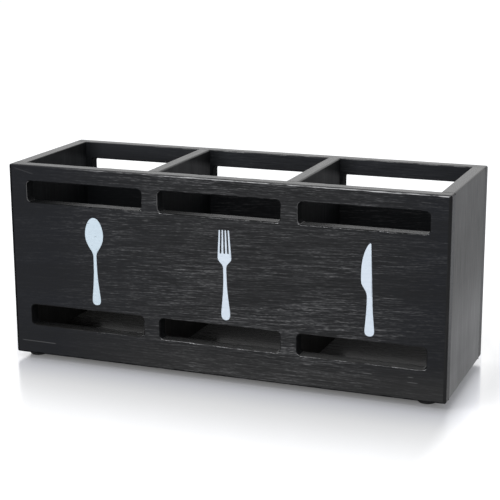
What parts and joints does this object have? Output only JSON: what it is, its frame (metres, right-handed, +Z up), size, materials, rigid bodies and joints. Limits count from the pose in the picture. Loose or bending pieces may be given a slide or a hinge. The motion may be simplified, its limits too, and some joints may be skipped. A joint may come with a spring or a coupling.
{
  "type": "flatware caddy",
  "caption": "Open wooden table caddy with compartments for spoons, forks and knives, slotted long walls, printed cutlery silhouettes and rubber feet",
  "frame": {"origin": "middle of the bounding box's bottom, on the surface that the feet stand on", "axes": "+X along the length to the viewer's right, +Y from the printed front to the back, +Z up"},
  "size_m": [0.3174, 0.1082, 0.1425],
  "materials": {
    "charcoal_paint": "charcoal paint, brushed along the grain, satin",
    "bare_beech": "bare turned beech",
    "black_rubber": "matte",
    "pale_ink": "matte printed paint"
  },
  "bodies": {
    "root": {"front_panel": "charcoal_paint", "back_panel": "charcoal_paint", "left_end_panel": "charcoal_paint", "right_end_panel": "charcoal_paint", "left_divider": "charcoal_paint", "right_divider": "charcoal_paint", "floor_board": "charcoal_paint", "dowel_front_left_1": "bare_beech", "dowel_front_left_2": "bare_beech", "dowel_front_left_3": "bare_beech", "dowel_front_right_1": "bare_beech", "dowel_front_right_2": "bare_beech", "dowel_front_right_3": "bare_beech", "dowel_front_divider_left_1": "bare_beech", "dowel_front_divider_left_2": "bare_beech", "dowel_front_divider_right_1": "bare_beech", "dowel_front_divider_right_2": "bare_beech", "dowel_back_left_1": "bare_beech", "dowel_back_left_2": "bare_beech", "dowel_back_left_3": "bare_beech", "dowel_back_right_1": "bare_beech", "dowel_back_right_2": "bare_beech", "dowel_back_right_3": "bare_beech", "dowel_back_divider_left_1": "bare_beech", "dowel_back_divider_left_2": "bare_beech", "dowel_back_divider_right_1": "bare_beech", "dowel_back_divider_right_2": "bare_beech", "foot_front_left": "black_rubber", "foot_front_right": "black_rubber", "foot_back_left": "black_rubber", "foot_back_right": "black_rubber", "spoon_print": "pale_ink", "fork_print": "pale_ink", "knife_print": "pale_ink"}
  },
  "joints": []
}
